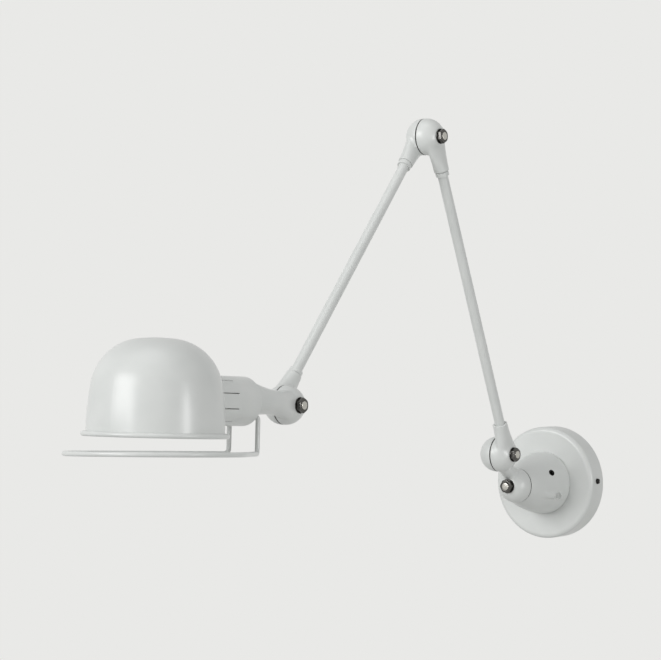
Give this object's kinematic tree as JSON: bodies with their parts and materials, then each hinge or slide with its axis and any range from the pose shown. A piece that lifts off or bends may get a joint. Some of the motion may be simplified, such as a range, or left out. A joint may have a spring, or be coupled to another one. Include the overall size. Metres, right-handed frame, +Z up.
{
  "type": "articulating wall lamp",
  "caption": "Wall lamp with a round wall dish, cast nose, two tube arms on bolted friction joints, and a domed shade held from its side with a bent wire handle.",
  "frame": {"origin": "centre of the wall dish, on the wall", "axes": "+Z up, +Y into the wall, -Y out into the room, X along the wall"},
  "size_m": [0.2004, 0.974, 0.547],
  "materials": {
    "white_paint": "satin",
    "painted_casting": "satin paint",
    "nickel_steel": "polished",
    "zinc_steel": "satin",
    "black_steel": "blackened",
    "dark_fibre": "matt",
    "rubber": "matt",
    "cable_sheath": "matt",
    "terminal_plastic": "matt",
    "ceramic": "glazed",
    "brass": "satin"
  },
  "bodies": {
    "wall_base": {"wall_bracket": "zinc_steel", "wall_dish": "white_paint", "swivel_nose": "painted_casting", "nose_fixing_screws": "zinc_steel", "dish_side_screws": "black_steel", "nose_grub_screw": "black_steel", "nose_lock_screw": "white_paint", "terminal_block": "terminal_plastic", "terminal_screws": "brass", "earth_screw": "brass", "cable_grommet": "rubber", "base_lead": "cable_sheath", "swivel_bolt": "nickel_steel", "swivel_nut": "nickel_steel", "swivel_washer": "nickel_steel", "swivel_friction_disc": "dark_fibre"},
    "knuckle": {"swivel_knuckle": "painted_casting", "shoulder_bolt": "nickel_steel", "shoulder_nut": "nickel_steel", "shoulder_washer": "nickel_steel", "shoulder_friction_disc": "dark_fibre"},
    "lower_arm": {"lower_arm_bottom_cup": "painted_casting", "lower_arm_tube": "white_paint", "lower_arm_top_cup": "painted_casting", "lower_arm_top_ferrule": "white_paint", "lower_arm_lead": "cable_sheath", "lower_arm_grub_screws": "black_steel"},
    "upper_arm": {"elbow_bolt": "nickel_steel", "elbow_nut": "nickel_steel", "elbow_washer": "nickel_steel", "elbow_friction_disc": "dark_fibre", "upper_arm_top_cup": "painted_casting", "upper_arm_tube": "white_paint", "upper_arm_bottom_cup": "painted_casting", "upper_arm_top_ferrule": "white_paint", "upper_arm_bottom_ferrule": "white_paint", "upper_arm_lead": "cable_sheath", "upper_arm_grub_screws": "black_steel", "head_bolt": "nickel_steel", "head_nut": "nickel_steel", "head_washer": "nickel_steel", "head_friction_disc": "dark_fibre"},
    "head": {"head_casting": "painted_casting", "socket_sleeve": "white_paint", "sleeve_screws": "zinc_steel", "lampholder_body": "ceramic", "lampholder_shell": "brass", "lampholder_contact": "brass", "head_lead": "cable_sheath", "shade": "white_paint", "shade_saddle": "white_paint", "rim_ring": "white_paint", "handle_wire": "white_paint"}
  },
  "joints": [
    {"name": "swivel", "type": "hinge", "parent": "wall_base", "child": "knuckle", "pos_m": [0, -0.0984, 0], "axis": [0, -1, 0], "range_deg": [-170, 170]},
    {"name": "shoulder_tilt", "type": "hinge", "parent": "knuckle", "child": "lower_arm", "pos_m": [0.00935, -0.1577, 0.0444], "axis": [1, 0, 0], "range_deg": [-33, 80]},
    {"name": "elbow_fold", "type": "hinge", "parent": "lower_arm", "child": "upper_arm", "pos_m": [0.00935, -0.33061, 0.449], "axis": [1, 0, 0], "range_deg": [-115, 36]},
    {"name": "head_tilt", "type": "hinge", "parent": "upper_arm", "child": "head", "pos_m": [0.00935, -0.62463, 0.12166], "axis": [1, 0, 0], "range_deg": [-85, 80]}
  ]
}
